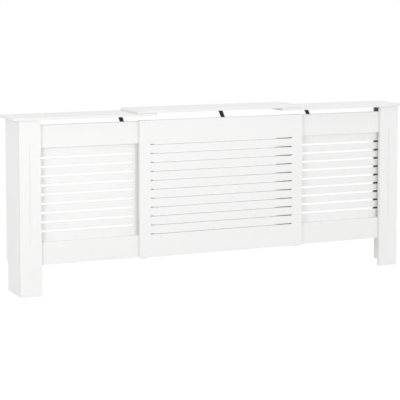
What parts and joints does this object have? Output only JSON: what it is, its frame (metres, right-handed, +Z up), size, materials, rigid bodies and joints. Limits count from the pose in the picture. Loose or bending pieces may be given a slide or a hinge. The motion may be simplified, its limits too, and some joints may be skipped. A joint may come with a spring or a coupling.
{
  "type": "radiator cover cabinet",
  "caption": "Low slotted cabinet that stands over a radiator: a bridge of top and front panel over two end sections that slide apart to suit the radiator's length.",
  "frame": {"origin": "on the floor, under the middle of the drawn-out cabinet's outline", "axes": "+X along the length, towards the right section as seen from the front; +Y towards the wall, away from the slotted front; +Z up"},
  "size_m": [2, 0.23, 0.815],
  "materials": {
    "white_board": "satin white paint on fibreboard",
    "bare_pine": "planed bare pine",
    "black_steel": "semi-matt black powder coat on steel",
    "zinc_steel": "zinc-plated steel"
  },
  "bodies": {
    "centre": {"centre_panel": "white_board", "centre_stay": "black_steel", "centre_stay_screw_1": "black_steel", "centre_stay_screw_2": "black_steel", "centre_stay_screw_3": "black_steel", "centre_stay_screw_4": "black_steel", "left_lower_clip": "zinc_steel", "left_lower_clip_screw_1": "zinc_steel", "left_lower_clip_screw_2": "zinc_steel", "left_upper_clip": "zinc_steel", "left_upper_clip_screw_1": "zinc_steel", "left_upper_clip_screw_2": "zinc_steel", "lower_block": "bare_pine", "middle_top": "white_board", "right_lower_clip": "zinc_steel", "right_lower_clip_screw_1": "zinc_steel", "right_lower_clip_screw_2": "zinc_steel", "right_upper_clip": "zinc_steel", "right_upper_clip_screw_1": "zinc_steel", "right_upper_clip_screw_2": "zinc_steel", "upper_block": "bare_pine"},
    "left_section": {"left_bottom_rail": "white_board", "left_corner_batten": "bare_pine", "left_front_cleat": "bare_pine", "left_inner_stile": "white_board", "left_leg_block": "bare_pine", "left_pilaster": "white_board", "left_rear_strip": "black_steel", "left_side_panel": "white_board", "left_slotted_board": "white_board", "left_stay": "black_steel", "left_stay_screw_1": "black_steel", "left_stay_screw_2": "black_steel", "left_stay_screw_3": "black_steel", "left_stay_screw_4": "black_steel", "left_strip_screw_1": "black_steel", "left_strip_screw_2": "black_steel", "left_top": "white_board", "left_top_cleat": "bare_pine", "left_top_rail": "white_board"},
    "right_section": {"right_bottom_rail": "white_board", "right_corner_batten": "bare_pine", "right_front_cleat": "bare_pine", "right_inner_stile": "white_board", "right_leg_block": "bare_pine", "right_pilaster": "white_board", "right_rear_strip": "black_steel", "right_side_panel": "white_board", "right_slotted_board": "white_board", "right_stay": "black_steel", "right_stay_screw_1": "black_steel", "right_stay_screw_2": "black_steel", "right_stay_screw_3": "black_steel", "right_stay_screw_4": "black_steel", "right_strip_screw_1": "black_steel", "right_strip_screw_2": "black_steel", "right_top": "white_board", "right_top_cleat": "bare_pine", "right_top_rail": "white_board"}
  },
  "joints": [
    {"name": "left_slide", "type": "slide", "parent": "centre", "child": "left_section", "axis": [1, 0, 0], "range_m": [-0.002, 0.306]},
    {"name": "right_slide", "type": "slide", "parent": "centre", "child": "right_section", "axis": [-1, 0, 0], "range_m": [-0.038, 0.27]}
  ]
}
